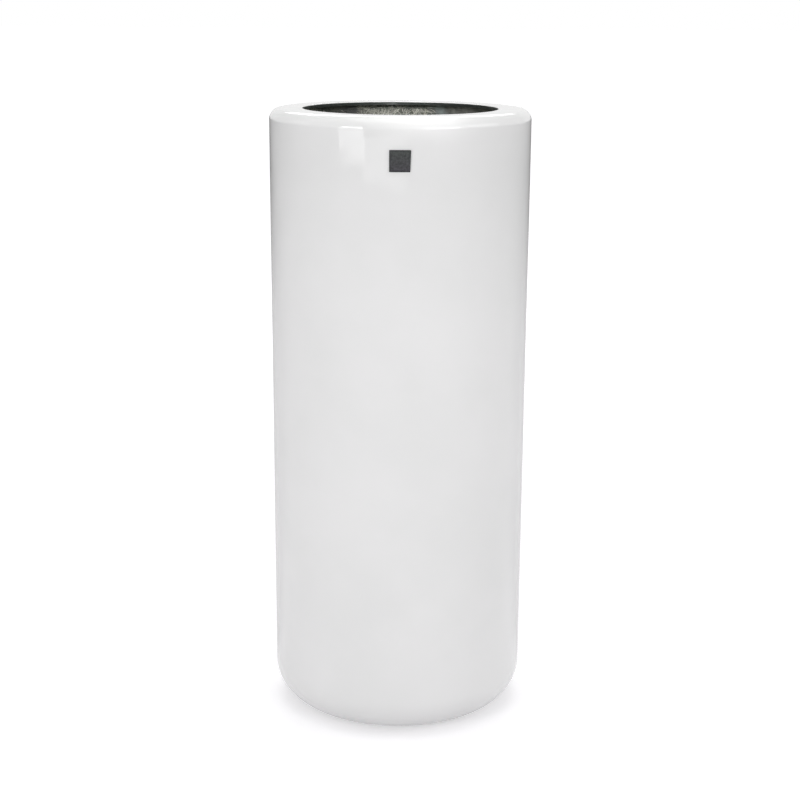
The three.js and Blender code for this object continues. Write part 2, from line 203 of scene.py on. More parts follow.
class Nodes:
    """A small helper that builds the node tree of a material, or of the world."""

    def __init__(self, name, world=False):
        self.material = (bpy.data.worlds if world else bpy.data.materials).new(name)
        self.material.use_nodes = True
        self.tree = self.material.node_tree
        self.shader = self.tree.nodes["Background" if world else "Principled BSDF"]

    def new(self, kind, **settings):
        node = self.tree.nodes.new(kind)
        for key, value in settings.items():
            setattr(node, key, value)
        return node

    def join(self, source, target):
        self.tree.links.new(source, target)

    def feed(self, socket, value):
        if isinstance(value, bpy.types.NodeSocket):
            self.join(value, socket)
        else:
            socket.default_value = value

    def set(self, socket_name, value):
        self.feed(self.shader.inputs[socket_name], value)

    def finish(self, colour, roughness, normal=None):
        """Joins the three to the shader and gives the material."""
        self.set("Base Color", colour)
        self.set("Roughness", roughness)
        if normal:
            self.set("Normal", normal)
        return self.material

    def position(self):
        return self.new("ShaderNodeTexCoord").outputs["Object"]

    def separate(self, vector):
        node = self.new("ShaderNodeSeparateXYZ")
        self.join(vector, node.inputs[0])
        return node.outputs

    def math(self, operation, first, second=0.0):
        node = self.new("ShaderNodeMath", operation=operation)
        self.feed(node.inputs[0], first)
        self.feed(node.inputs[1], second)
        return node.outputs[0]

    def noise(self, coordinates, scale, detail=2.0, roughness=0.5, distortion=0.0):
        """Noise about 0.5. scale is in waves per metre."""
        node = self.new("ShaderNodeTexNoise")
        self.join(coordinates, node.inputs["Vector"])
        node.inputs["Scale"].default_value = scale
        node.inputs["Detail"].default_value = detail
        node.inputs["Roughness"].default_value = roughness
        node.inputs["Distortion"].default_value = distortion
        return node.outputs["Fac"]

    def range(self, value, from_low, from_high, to_low=0.0, to_high=1.0, smooth=False):
        node = self.new("ShaderNodeMapRange")
        node.interpolation_type = "SMOOTHSTEP" if smooth else "LINEAR"
        self.join(value, node.inputs["Value"])
        node.inputs["From Min"].default_value = from_low
        node.inputs["From Max"].default_value = from_high
        node.inputs["To Min"].default_value = to_low
        node.inputs["To Max"].default_value = to_high
        return node.outputs["Result"]

    def mix(self, factor, first, second):
        """Two colours mixed. The colour sockets of the mix node are found by number."""
        node = self.new("ShaderNodeMix", data_type="RGBA")
        self.feed(node.inputs["Factor"], factor)
        self.feed(node.inputs[6], first)
        self.feed(node.inputs[7], second)
        return node.outputs[2]

    def shades(self, value, low, high, colours, smooth=False):
        """The first of two colours where value is low, the second where it is high."""
        return self.mix(self.range(value, low, high, smooth=smooth), *colours)

    def bump(self, height, distance, normal=None):
        node = self.new("ShaderNodeBump")
        node.inputs["Strength"].default_value = 1.0
        node.inputs["Distance"].default_value = distance
        self.join(height, node.inputs["Height"])
        if normal:
            self.join(normal, node.inputs["Normal"])
        return node.outputs["Normal"]

    def rays(self, *kinds):
        """1 for rays of these kinds, 0 for the rest."""
        path = self.new("ShaderNodeLightPath")
        total = path.outputs[kinds[0]]
        for kind in kinds[1:]:
            total = self.math("MAXIMUM", total, path.outputs[kind])
        return total

    def around(self):
        """Coordinates laid flat on the wall, in metres: along the turn, up, and from the axis."""
        x, y, z = self.separate(self.position())
        angle = self.math("ARCTAN2", x, y)
        square = self.math("ADD", self.math("MULTIPLY", x, x), self.math("MULTIPLY", y, y))
        joined = self.new("ShaderNodeCombineXYZ")
        self.join(self.math("MULTIPLY", angle, INSIDE_RADIUS), joined.inputs[0])
        self.join(z, joined.inputs[1])
        self.join(self.math("SQRT", square), joined.inputs[2])
        return joined.outputs[0]

    def strands(self, coordinates):
        """Thin glass bundles that lie in several directions, as a mask from 0 to 1.

        Each direction is noise stretched along it, taken from a place of its own.
        """
        mask = None
        for index in range(BUNDLE_DIRECTIONS):
            mapping = self.new("ShaderNodeMapping")
            self.join(coordinates, mapping.inputs["Vector"])
            turn = math.pi * (index + 0.35) / BUNDLE_DIRECTIONS
            mapping.inputs["Rotation"].default_value = (0, 0, turn)
            mapping.inputs["Location"].default_value = (3.7 * index, 1.9 * index, 0.6 * index)
            stretch = self.new("ShaderNodeVectorMath", operation="MULTIPLY")
            self.join(mapping.outputs[0], stretch.inputs[0])
            stretch.inputs[1].default_value = (BUNDLE_RATE_ALONG, BUNDLE_RATE_ACROSS, 1.0)
            lines = self.noise(stretch.outputs[0], 1.0, detail=0.0, distortion=0.25)
            line = self.range(lines, BUNDLE_CUT, BUNDLE_CUT + BUNDLE_EDGE)
            mask = line if mask is None else self.math("MAXIMUM", mask, line)
        return mask


# ---------------------------------------------------------------- materials
# Colours are linear. A pair holds those of a surface's darker and lighter places.
GELCOAT_SHADES = ((0.835, 0.838, 0.832, 1), (0.862, 0.862, 0.858, 1))
WALL_RESIN = ((0.06, 0.069, 0.06, 1), (0.15, 0.167, 0.145, 1))
WALL_GLASS = (0.55, 0.54, 0.46, 1)
LIP_COLOUR = (0.008, 0.014, 0.01, 1)
PANEL_RESIN = ((0.06, 0.066, 0.054, 1), (0.14, 0.15, 0.122, 1))
PANEL_GLASS = (0.6, 0.58, 0.48, 1)
TAPE_RESIN = ((0.095, 0.095, 0.075, 1), (0.21, 0.205, 0.162, 1))
TAPE_GLASS = (0.68, 0.66, 0.55, 1)
STRAND_SHADES = ((0.2, 0.2, 0.16, 1), (0.92, 0.91, 0.83, 1))
STRAND_RESIN = (0.14, 0.14, 0.11, 1)
PLASTIC_SHADES = ((0.022, 0.023, 0.025, 1), (0.04, 0.04, 0.042, 1))
PLUG_SHADES = ((0.02, 0.02, 0.02, 1), (0.045, 0.045, 0.044, 1))
SEAL_SHADES = ((0.012, 0.012, 0.012, 1), (0.03, 0.03, 0.03, 1))
FOOT_SHADES = ((0.03, 0.03, 0.03, 1), (0.07, 0.068, 0.065, 1))
LABEL_RECESS = (0.035, 0.037, 0.038, 1)
# The plate is tinted green at the top and purple at the bottom, blended by height.
LABEL_TINT_ABOVE = (0.085, 0.095, 0.088, 1)
LABEL_TINT_BELOW = (0.082, 0.075, 0.09, 1)
LABEL_BORDER = (0.025, 0.027, 0.028, 1)
FILM_SHADES = ((0.5, 0.49, 0.45, 1), (0.62, 0.61, 0.57, 1))

# Pools of bare resin under the rim: middle along the turn from the back, half width and colour.
# The two pale colours are painted highlights of the glossy resin.
RESIN_POOLS_AND_HIGHLIGHTS = (
    (70 * MM, 15 * MM, (0.36, 0.41, 0.4, 1)),
    (-94 * MM, 22 * MM, (0.12, 0.12, 0.125, 1)),
    (116 * MM, 30 * MM, (0.42, 0.42, 0.385, 1)),
)


def gelcoat_material():
    """High gloss over a surface that is very slightly wavy."""
    n = Nodes("white_gelcoat")
    here = n.position()
    cloudy = n.noise(here, 5.0, detail=3.0)
    colour = n.shades(cloudy, 0.35, 0.65, GELCOAT_SHADES, smooth=True)
    wiped = n.noise(here, 14.0, detail=5.0, roughness=0.6, distortion=0.4)
    ripple = n.bump(n.noise(here, 16.0, detail=1.5), 0.7 * MM)
    peel = n.bump(n.noise(here, 260.0, detail=1.0), 0.02 * MM, normal=ripple)
    n.set("IOR", 1.5)
    return n.finish(colour, n.range(wiped, 0.3, 0.7, 0.03, 0.075), peel)


def laid_bundles(n, height, flat_below):
    """Mask of the glass bundles. Below the height flat_below they lie on the floor."""
    on_wall = n.strands(n.around())
    if not flat_below:
        return on_wall
    on_floor = n.strands(n.position())
    above = n.range(height, flat_below - 5 * MM, flat_below + 5 * MM)
    below = n.math("SUBTRACT", 1.0, above)
    return n.math("ADD", n.math("MULTIPLY", on_wall, above), n.math("MULTIPLY", on_floor, below))


def pooled_and_highlighted(n, colour, along, height):
    """Adds the resin pools, whose edges are soft and uneven. The pale pools are painted highlights.
    """
    here = n.position()
    under_rim = n.range(height, BODY_TOP - 75 * MM, BODY_TOP - 40 * MM)
    thin = n.range(n.noise(here, 150.0, detail=3.0), 0.32, 0.68, 0.5, 1.0, smooth=True)
    cover = n.math("MULTIPLY", under_rim, thin)
    wobble = n.range(n.noise(here, 60.0, detail=3.0), 0.2, 0.8, -14 * MM, 14 * MM)
    # Each pool's colour is laid over the laminate; the pale ones are painted highlights.
    for middle, half_width, pool in RESIN_POOLS_AND_HIGHLIGHTS:
        aside = n.math("ABSOLUTE", n.math("SUBTRACT", n.math("ADD", along, wobble), middle))
        there = n.range(aside, half_width * 0.3, half_width * 1.3, 1.0, 0.0, smooth=True)
        colour = n.mix(n.math("MULTIPLY", there, cover), colour, pool)
    return colour


def lipped(n, colour, radius, height):
    """Darkens the cut edge of the laminate round the mouth."""
    near_mouth = n.range(radius, MOUTH_RADIUS + 1 * MM, MOUTH_RADIUS + 5 * MM, 1.0, 0.0)
    high = n.range(height, BODY_TOP - 20 * MM, BODY_TOP - 15 * MM)
    return n.mix(n.math("MULTIPLY", near_mouth, high), colour, LIP_COLOUR)


def laminate_material(name, resin_shades, glass, amount, flat_below=None, mouth=False):
    """Dark resin with chopped glass showing through. amount is the share of glass that shows."""
    n = Nodes(name)
    here = n.position()
    along, height, radius = n.separate(n.around())
    patch = n.noise(here, 11.0, detail=3.0, roughness=0.6)
    resin = n.shades(patch, 0.35, 0.68, resin_shades, smooth=True)
    grain = n.noise(here, 420.0, detail=2.0)
    resin = n.mix(n.range(grain, 0.3, 0.75, 0.0, 0.35), resin, resin_shades[0])
    bundles = laid_bundles(n, height, flat_below)
    dry_from, dry_to = 0.66 - amount * 0.4, 0.78 - amount * 0.3
    dry = n.range(n.noise(here, 7.0, detail=2.0), dry_from, dry_to, smooth=True)
    shown = n.math("MULTIPLY", bundles, n.range(dry, 0.0, 1.0, 0.12, 0.7))
    colour = n.mix(shown, resin, glass)
    if mouth:
        colour = lipped(n, pooled_and_highlighted(n, colour, along, height), radius, height)
    wet = n.range(n.noise(here, 23.0, detail=3.0), 0.35, 0.7, 0.3, 0.62)
    uneven = n.bump(n.noise(here, 85.0, detail=3.0, roughness=0.6), 1.1 * MM)
    return n.finish(colour, wet, n.bump(bundles, 0.35 * MM, normal=uneven))


def strand_material():
    """Each bundle has a tone of its own, from resin-soaked to dry and pale."""
    n = Nodes("chopped_glass")
    here = n.position()
    each = n.new("ShaderNodeNewGeometry").outputs["Random Per Island"]
    fine = n.noise(here, 900.0, detail=1.0)
    colour = n.mix(n.range(fine, 0.35, 0.7, 0.0, 0.35), n.mix(each, *STRAND_SHADES), STRAND_RESIN)
    cloudy = n.noise(here, 16.0, detail=2.0)
    return n.finish(colour, n.range(cloudy, 0.3, 0.7, 0.35, 0.6), n.bump(fine, 0.2 * MM))


def plastic_material():
    n = Nodes("black_drain_plastic")
    here = n.position()
    cloudy = n.noise(here, 60.0, detail=3.0)
    colour = n.shades(cloudy, 0.3, 0.7, PLASTIC_SHADES)
    fine = n.bump(n.noise(here, 1400.0, detail=1.0), 0.08 * MM)
    return n.finish(colour, n.range(cloudy, 0.3, 0.7, 0.28, 0.45), fine)


def rubber_material(name, shades):
    n = Nodes(name)
    here = n.position()
    dusty = n.noise(here, 110.0, detail=4.0, roughness=0.65)
    colour = n.shades(dusty, 0.35, 0.72, shades)
    fine = n.bump(n.noise(here, 1800.0, detail=2.0), 0.1 * MM)
    return n.finish(colour, n.range(dusty, 0.3, 0.7, 0.62, 0.85), fine)


def label_material():
    """A grained cast plate with a dark border, tinted green above and purple below."""
    n = Nodes("pewter_label")
    here = n.position()
    x, _, z = n.separate(here)
    cast = n.noise(here, 260.0, detail=3.0, roughness=0.6)
    lower = n.range(z, plate_low.z, plate_high.z, 1.0, 0.0)
    # Green tint at the top, purple tint at the bottom, blended by height.
    plate_tint = n.mix(lower, LABEL_TINT_ABOVE, LABEL_TINT_BELOW)
    colour = n.mix(n.range(cast, 0.32, 0.68), LABEL_RECESS, plate_tint)
    up = n.math("SUBTRACT", z, (plate_low.z + plate_high.z) / 2)
    from_middle = n.math("MAXIMUM", n.math("ABSOLUTE", x), n.math("ABSOLUTE", up))
    border = n.range(from_middle, plate_high.x - 2.2 * MM, plate_high.x - 1.2 * MM)
    colour = n.mix(n.math("MULTIPLY", border, 0.6), colour, LABEL_BORDER)
    n.set("Metallic", 0.55)
    fine = n.bump(n.noise(here, 1500.0, detail=2.0), 0.06 * MM)
    return n.finish(colour, n.range(cast, 0.3, 0.7, 0.5, 0.34), n.bump(cast, 0.4 * MM, normal=fine))


def film_material():
    n = Nodes("adhesive_film")
    cloudy = n.noise(n.position(), 300.0, detail=2.0)
    return n.finish(n.shades(cloudy, 0.3, 0.7, FILM_SHADES), n.range(cloudy, 0.3, 0.7, 0.4, 0.6))


white_gelcoat = gelcoat_material()
wall_laminate = laminate_material("wall_laminate", WALL_RESIN, WALL_GLASS, 0.5, mouth=True)
panel_laminate = laminate_material(
    "panel_laminate", PANEL_RESIN, PANEL_GLASS, 0.7, flat_below=PANEL_TOP + 30 * MM
)
tape_laminate = laminate_material(
    "tape_laminate", TAPE_RESIN, TAPE_GLASS, 0.9, flat_below=PANEL_TOP + 18 * MM
)
chopped_glass = strand_material()
drain_plastic = plastic_material()
plug_rubber = rubber_material("plug_rubber", PLUG_SHADES)
seal_rubber = rubber_material("seal_rubber", SEAL_SHADES)
foot_rubber = rubber_material("foot_rubber", FOOT_SHADES)
label_finish = label_material()
film_finish = film_material()


# ---------------------------------------------------------------- body
def body_outline(inset, steps):
    """The planter's outside, moved into the wall by inset, from the base ring up to the mouth."""
    edge_r, edge_z = BASE_FLAT_OUTER_RADIUS, BODY_BOTTOM + BASE_EDGE_RADIUS
    shoulder_r, shoulder_z = OUTER_RADIUS - RIM_SHOULDER_RADIUS, BODY_TOP - RIM_SHOULDER_RADIUS
    return [
        (BASE_FLAT_INNER_RADIUS, BODY_BOTTOM + inset),
        *arc(edge_r, edge_z, BASE_EDGE_RADIUS - inset, -QUARTER_TURN, 0, steps),
        *arc(shoulder_r, shoulder_z, RIM_SHOULDER_RADIUS - inset, 0, QUARTER_TURN, steps),
        (MOUTH_RADIUS, BODY_TOP - inset),
    ]


WALL_DIP = 0.22 * MM
WALL_DIP_RATE = 1.75
WALL_DIP_UPRIGHT = 3.0


def make_skin():
    edge = MOUTH_EDGE_BREAK
    outside = body_outline(0, 18)[:-1]
    outside += arc(MOUTH_RADIUS + edge, BODY_TOP - edge, edge, QUARTER_TURN, math.pi, 5)
    outside = finer(outside, 14 * MM)
    inside = finer(body_outline(SKIN_THICKNESS, 8)[::-1], 60 * MM)
    outer_count = len(outside)
    wall_low = BODY_BOTTOM + BASE_EDGE_RADIUS * 0.4
    wall_high = BODY_TOP - RIM_SHOULDER_RADIUS * 0.5

    def dip(r, z, angle, index):
        """The moulded wall isn't quite true: it dips in by a fraction of a millimetre."""
        if index >= outer_count or not wall_low < z < wall_high:
            return r, z
        spot = Vector((math.cos(angle), math.sin(angle), z * WALL_DIP_UPRIGHT)) * WALL_DIP_RATE
        return r - WALL_DIP * (0.5 + 0.5 * noise.noise(spot)), z

    skin = turned("gelcoat_body", outside + inside, 288, shift=dip)
    sharpen(skin, 40)
    return place(skin, "planter", "gelcoat", white_gelcoat, "gelcoat_skin")


def make_laminate():
    outside = finer(body_outline(SHELL_OUTSIDE_INSET, 8), 60 * MM)
    inside = finer(body_outline(SHELL_INSIDE_INSET, 8)[::-1], 7 * MM)
    outer_count = len(outside)
    near_rim = BODY_TOP - SHELL_INSIDE_INSET - 1 * MM
    near_base_ring = BODY_BOTTOM + SHELL_INSIDE_INSET + 1 * MM

    def rough(r, z, angle, index):
        """Only the inside is raw. Its lumps rise from the wall, the rim and the base ring."""
        if index < outer_count:
            return r, z
        lump = lumps(spot_at(r, z, angle), (0.45 * MM, 28), (0.22 * MM, 110))
        if z > near_rim or z < near_base_ring:
            return r, z + lump
        return r + lump, z

    wall = turned("laminate_wall", outside + inside, 224, shift=rough)
    sharpen(wall, 50)
    return place(wall, "planter", "raw_laminate", wall_laminate, "laminate_shell")


def make_panel():
    hub = DRAIN_HOLE_RADIUS + 1 * MM
    under = finer([(hub, PANEL_UNDERSIDE), (PANEL_RADIUS, PANEL_UNDERSIDE)], 6 * MM)
    top = finer([(PANEL_RADIUS, PANEL_TOP), (DRAIN_HOLE_RADIUS, PANEL_TOP)], 4 * MM)
    middle = (PANEL_TOP + PANEL_UNDERSIDE) / 2

    def rough(r, z, angle, index):
        """Flat and true where the drain clamps it. Further out it is lumpy and a little thinner."""
        off_drain = min(1.0, max(0.0, (r - 26 * MM) / (10 * MM)))
        lump = lumps(spot_at(r, z, angle), (0.35 * MM, 45), (0.15 * MM, 160)) * off_drain
        if r > PANEL_RADIUS - 1 * MM:
            lump = 0.0
        sink = 0.3 * MM * off_drain
        return r, z + lump - (sink if z > middle else -sink)

    profile = [(DRAIN_HOLE_RADIUS, PANEL_UNDERSIDE), *under, *top]
    panel = turned("panel_disc", profile, 192, shift=rough)
    sharpen(panel, 50)
    return place(panel, "planter", "panel_laminate", panel_laminate, "base_panel")


def make_tape():
    inset = SHELL_INSIDE_INSET + BOND_LINE
    wall = OUTER_RADIUS - inset
    bed = PANEL_TOP + BOND_LINE
    face = wall - TAPE_THICKNESS
    floor = bed + TAPE_THICKNESS
    end = PANEL_RADIUS - TAPE_LAP
    feather = 0.9 * MM
    run_out = 2.5 * MM
    edge_r, edge_z = BASE_FLAT_OUTER_RADIUS, BODY_BOTTOM + BASE_EDGE_RADIUS
    fillet_r, fillet_z = face - TAPE_FILLET_RADIUS, floor + TAPE_FILLET_RADIUS
    under = [
        (end, bed),
        (PANEL_RADIUS + BOND_LINE, bed),
        (PANEL_RADIUS + BOND_LINE, BODY_BOTTOM + inset),
        *arc(edge_r, edge_z, BASE_EDGE_RADIUS - inset, -QUARTER_TURN, 0, 8),
        (wall, TAPE_TOP),
    ]
    over = finer([
        (wall - feather, TAPE_TOP),
        (face, TAPE_TOP - run_out),
        *arc(fillet_r, fillet_z, TAPE_FILLET_RADIUS, 0, -QUARTER_TURN, 12),
        (end + run_out, floor),
        (end, bed + feather),
    ], 5 * MM)
    under_count = len(under)

    def ragged(r, z, angle, index):
        """The tape's two edges wander, and its face is lumpy."""
        spot = spot_at(r, z, angle)
        wander = lumps(spot, (2.5 * MM, 22), (1.2 * MM, 90)) - 2.0 * MM
        if z > TAPE_TOP - 4 * MM:
            return r, z + wander
        if r < end + 4 * MM:
            return r - wander, z
        if index < under_count:
            return r, z
        lump = lumps(spot, (0.5 * MM, 50), (0.2 * MM, 170))
        return r - lump, z + lump * 0.5

    tape = turned("tape_fillet", under + over, 224, shift=ragged)
    sharpen(tape, 50)
    return place(tape, "planter", "tape_laminate", tape_laminate, "base_bonding_tape")


# ---------------------------------------------------------------- chopped strands
STRAND_COUNT = 7500
STRAND_SEED = 11
STRAND_LENGTHS_MM = (12, 36)
STRAND_WIDTHS_MM = (0.7, 2.2)
STRAND_HEIGHTS_MM = (0.15, 0.45)
STRAND_BEND = 0.25
STRAND_STATIONS = 4
STRAND_TIP_SHARE = 0.45
STRAND_ROOT = -0.25 * MM
STRAND_CREST = 0.15 * MM
STRAND_HIGHEST = BODY_TOP - SHELL_INSIDE_INSET - 3 * MM
STRAND_LOWEST = TAPE_TOP + 2 * MM
DRY_PATCH_MIDDLE = (12 * MM, BODY_TOP - 30 * MM)
DRY_PATCH_REACH = (74 * MM, 50 * MM)
DRY_PATCH_SHARE = 0.75
POOL_DEPTH = 60 * MM
POOL_SHARE = 0.06


def wall_point(along, up, lift):
    """A point on the inside of the wall, along the turn from the back, lifted off it by lift."""
    angle = QUARTER_TURN + along / INSIDE_RADIUS
    radius = INSIDE_RADIUS - lift
    return radius * np.cos(angle), radius * np.sin(angle), up


def strand_share(along, up):
    """The share of strands that are kept here: most in the dry patch behind the mouth."""
    aside = (along - DRY_PATCH_MIDDLE[0]) / DRY_PATCH_REACH[0]
    above = (up - DRY_PATCH_MIDDLE[1]) / DRY_PATCH_REACH[1]
    if aside * aside + above * above < 1.0:
        return DRY_PATCH_SHARE
    dry = 0.5 + 0.5 * noise.noise(Vector(wall_point(along, up, 0.0)) * 6.0)
    return 0.1 + 0.3 * max(0.0, dry - 0.45)


def in_pool(along, up):
    """Whether a resin pool is here. The pools count along the turn the other way."""
    near = any(abs(along + middle) < half_width for middle, half_width, _ in RESIN_POOLS_AND_HIGHLIGHTS)
    return near and up > BODY_TOP - POOL_DEPTH


def strand_vertices(along, up, length, width, height, heading, bend):
    """Two edges sunk in the resin and a crest between them, at each station of the bundle."""
    vertices = []
    for k in range(STRAND_STATIONS):
        t = k / (STRAND_STATIONS - 1) - 0.5
        turn = heading + bend * t
        a = along + t * length * math.cos(turn)
        b = min(max(up + t * length * math.sin(turn), STRAND_LOWEST), STRAND_HIGHEST)
        share = 1.0 if 0 < k < STRAND_STATIONS - 1 else STRAND_TIP_SHARE
        side_a = -math.sin(turn) * width / 2 * share
        side_b = math.cos(turn) * width / 2 * share
        vertices.append(wall_point(a + side_a, b + side_b, STRAND_ROOT))
        vertices.append(wall_point(a - side_a, b - side_b, STRAND_ROOT))
        vertices.append(wall_point(a, b, STRAND_CREST + height * share))
    return vertices


def strand_faces(base):
    faces = []
    for k in range(STRAND_STATIONS - 1):
        p = base + 3 * k
        q = p + 3
        faces += [(p, p + 1, q + 1, q), (p + 1, p + 2, q + 2, q + 1), (p + 2, p, q, q + 2)]
    end = base + 3 * (STRAND_STATIONS - 1)
    return faces + [(base, base + 2, base + 1), (end, end + 1, end + 2)]


def make_strands():
    """Bundles of chopped glass that stand out of the resin on the inside of the wall."""
    rng = np.random.default_rng(STRAND_SEED)
    half_turn = math.pi * INSIDE_RADIUS
    vertices, faces = [], []
    made = 0
    while made < STRAND_COUNT:
        along = rng.uniform(-half_turn, half_turn)
        up = rng.uniform(STRAND_LOWEST, STRAND_HIGHEST)
        if rng.random() > strand_share(along, up):
            continue
        if in_pool(along, up) and rng.random() > POOL_SHARE:
            continue
        made += 1
        length = rng.uniform(*STRAND_LENGTHS_MM) * MM
        width = rng.uniform(*STRAND_WIDTHS_MM) * MM
        height = rng.uniform(*STRAND_HEIGHTS_MM) * MM
        heading = rng.uniform(0, math.pi)
        bend = rng.normal(0, STRAND_BEND)
        faces += strand_faces(len(vertices))
        vertices += strand_vertices(along, up, length, width, height, heading, bend)
    strands = mesh_object("laminate_strands", vertices, faces)
    return place(strands, "planter", "raw_laminate", chopped_glass)


# ---------------------------------------------------------------- drain
def make_bush():
    """A flanged sleeve. A shallow groove runs round the top of its flange."""
    foot, under, top = bush_low.z, seal_high.z, bush_high.z
    flange = bush_high.x
    bore_break = 0.4 * MM
    sleeve_break = 0.5 * MM
    flange_round = 1 * MM
    mouth_round = 0.5 * MM
    groove_depth = 0.7 * MM
    profile = [
        (BORE_RADIUS, foot + bore_break),
        (BORE_RADIUS + bore_break, foot),
        (SLEEVE_RADIUS - sleeve_break, foot),
        (SLEEVE_RADIUS, foot + sleeve_break),
        (SLEEVE_RADIUS, under),
        (flange, under),
        *arc(flange - flange_round, top - flange_round, flange_round, 0, QUARTER_TURN, 5),
        (flange - 3.5 * MM, top),
        (flange - 4.2 * MM, top - groove_depth),
        (BORE_RADIUS + 5.4 * MM, top - groove_depth),
        (BORE_RADIUS + 4.8 * MM, top),
        *arc(BORE_RADIUS + mouth_round, top - mouth_round, mouth_round, QUARTER_TURN, math.pi, 4),
    ]
    bush = turned("bush_body", profile, 128)
    sharpen(bush, 35)
    return place(bush, "planter", "drain_plastic", drain_plastic, "drain_bush")


def make_seal():
    """A flat ring whose outer edge bulges out under the flange."""
    rim = seal_high.x
    mid = (seal_low.z + seal_high.z) / 2
    half = (seal_high.z - seal_low.z) / 2
    profile = [
        (DRAIN_HOLE_RADIUS, seal_low.z),
        (rim - half, seal_low.z),
        *arc(rim - half, mid, half, -QUARTER_TURN, QUARTER_TURN, 8),
        (DRAIN_HOLE_RADIUS, seal_high.z),
    ]
    seal = turned("seal_ring", profile, 128)
    sharpen(seal, 35)
    return place(seal, "planter", "seal_rubber", seal_rubber, "drain_seal")


def make_nut():
    """Hexagon with turned corners: each ring takes the smaller of hexagon and cone."""
    corner, flat = nut_high.x, nut_high.y
    height = nut_high.z - nut_low.z
    hole_break = 0.4 * MM
    lid = 0.3 * MM
    cone_base = flat + 0.1 * MM
    cone_slope = 1.9
    levels = [0.0, 0.35 * MM, 0.8 * MM, 1.4 * MM, 2.2 * MM, height - lid, height]
    profile = [
        (NUT_HOLE_RADIUS, nut_low.z + hole_break),
        (NUT_HOLE_RADIUS + hole_break, nut_low.z),
        *[(corner, nut_low.z + level) for level in levels],
        (NUT_HOLE_RADIUS, nut_high.z),
    ]

    def hexagon(r, z, angle, index):
        if r < corner - 1e-6:
            return r, z
        facing = (angle % (math.pi / 3)) - math.pi / 6
        hex_radius = flat / math.cos(facing)
        level = z - nut_low.z
        trim = lid if level > height - 0.1 * MM else 0.0
        return min(hex_radius, cone_base + level * cone_slope) - trim, z

    nut = turned("nut_body", profile, 192, shift=hexagon)
    sharpen(nut, 25)
    return place(nut, "planter", "drain_plastic", drain_plastic, "drain_lock_nut")


PLUG_VOXEL = 0.45 * MM


def make_plug_loop():
    """The upright ring that the plug is pulled by."""
    bpy.ops.mesh.primitive_torus_add(
        major_radius=PLUG_LOOP_RADIUS,
        minor_radius=PLUG_CORD_RADIUS - 0.1 * MM,
        major_segments=64,
        minor_segments=24,
        location=(0, 0, plug_high.z - PLUG_LOOP_RADIUS - PLUG_CORD_RADIUS),
        rotation=(QUARTER_TURN, 0, 0),
    )
    return bpy.context.object


def make_plug():
    """A ribbed stem, a head and a loop, melted into one piece of rubber."""
    seat = bush_high.z
    tip = plug_low.z
    head = plug_high.x
    head_top = seat + PLUG_HEAD_THICKNESS
    head_round = 1.2 * MM
    profile = [
        (0.0, tip),
        (9.0 * MM, tip),
        (9.9 * MM, tip + 1 * MM),
        (10.0 * MM, tip + 4 * MM),
        (10.3 * MM, tip + 4.6 * MM),
        (10.1 * MM, tip + 7.5 * MM),
        (10.45 * MM, tip + 8.1 * MM),
        (10.6 * MM, seat),
        (head - 0.2 * MM, seat),
        *arc(head - head_round, head_top - head_round, head_round, 0, QUARTER_TURN, 6),
        (0.0, head_top),
    ]
    plug = turned("plug_body", profile, 96, closed=False)
    weld_axis(plug)
    loop = make_plug_loop()
    for obj in bpy.context.selected_objects:
        obj.select_set(False)
    plug.select_set(True)
    loop.select_set(True)
    bpy.context.view_layer.objects.active = plug
    bpy.ops.object.join()
    melt = plug.modifiers.new("melt", "REMESH")
    melt.mode = "VOXEL"
    melt.voxel_size = PLUG_VOXEL
    soften = plug.modifiers.new("soften", "SMOOTH")
    soften.factor = 0.5
    soften.iterations = 4
    for modifier in list(plug.modifiers):
        bpy.ops.object.modifier_apply(modifier=modifier.name)
    plug.data.polygons.foreach_set("use_smooth", [True] * len(plug.data.polygons))
    plug.data.materials.clear()
    return place(plug, "plug", "plug_rubber", plug_rubber, "drain_plug")


# ---------------------------------------------------------------- feet
PAD_GROOVE_RINGS = (0.35, 0.55, 0.75)
PAD_GROOVE_DEPTH = 0.6 * MM
PAD_GROOVE_HALF_WIDTH = 0.9 * MM
PAD_GROOVE_HALF_BED = 0.5 * MM


def make_foot_pad(index):
    """A disc with three round grooves in the face that it stands on."""
    node = f"foot_pad_{index}"
    low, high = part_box(node)
    middle = (low + high) / 2
    radius = (high.x - low.x) / 2
    height = high.z - low.z
    lower_round = 1 * MM
    upper_round = 0.4 * MM
    grooves = []
    for ring in PAD_GROOVE_RINGS:
        r = radius * ring
        grooves += [
            (r - PAD_GROOVE_HALF_WIDTH, 0.0),
            (r - PAD_GROOVE_HALF_BED, PAD_GROOVE_DEPTH),
            (r + PAD_GROOVE_HALF_BED, PAD_GROOVE_DEPTH),
            (r + PAD_GROOVE_HALF_WIDTH, 0.0),
        ]
    profile = [
        (0.0, 0.0),
        *grooves,
        (radius - 1.2 * MM, 0.0),
        *arc(radius - lower_round, lower_round, lower_round, -QUARTER_TURN, 0, 5),
        *arc(radius - upper_round, height - upper_round, upper_round, 0, QUARTER_TURN, 4),
        (0.0, height),
    ]
    pad = turned(f"foot_{index}", profile, 96, closed=False)
    weld_axis(pad)
    pad.data.transform(Matrix.Translation((middle.x, middle.y, low.z)))
    sharpen(pad, 35)
    return place(pad, "planter", "foot_rubber", foot_rubber, node)


# ---------------------------------------------------------------- label
def sheet_point(u, v, half_width, half_height):
    """A point of a square sheet, with u and v from -1 to 1, with the slant and round corners.

    The sheet's right edge leans in a little towards the bottom, where it isn't cut true.
    """
    x, z = u * half_width, v * half_height
    if u > 0:
        x -= LABEL_SLANT * u * (1 - v) / 2
    corner = LABEL_CORNER_RADIUS
    over_x = abs(x) - (half_width - corner)
    over_z = abs(z) - (half_height - corner)
    if over_x > 0 and over_z > 0:
        reach = math.hypot(over_x, over_z)
        if reach > corner:
            x = math.copysign(half_width - corner + over_x * corner / reach, x)
            z = math.copysign(half_height - corner + over_z * corner / reach, z)
    return x, z


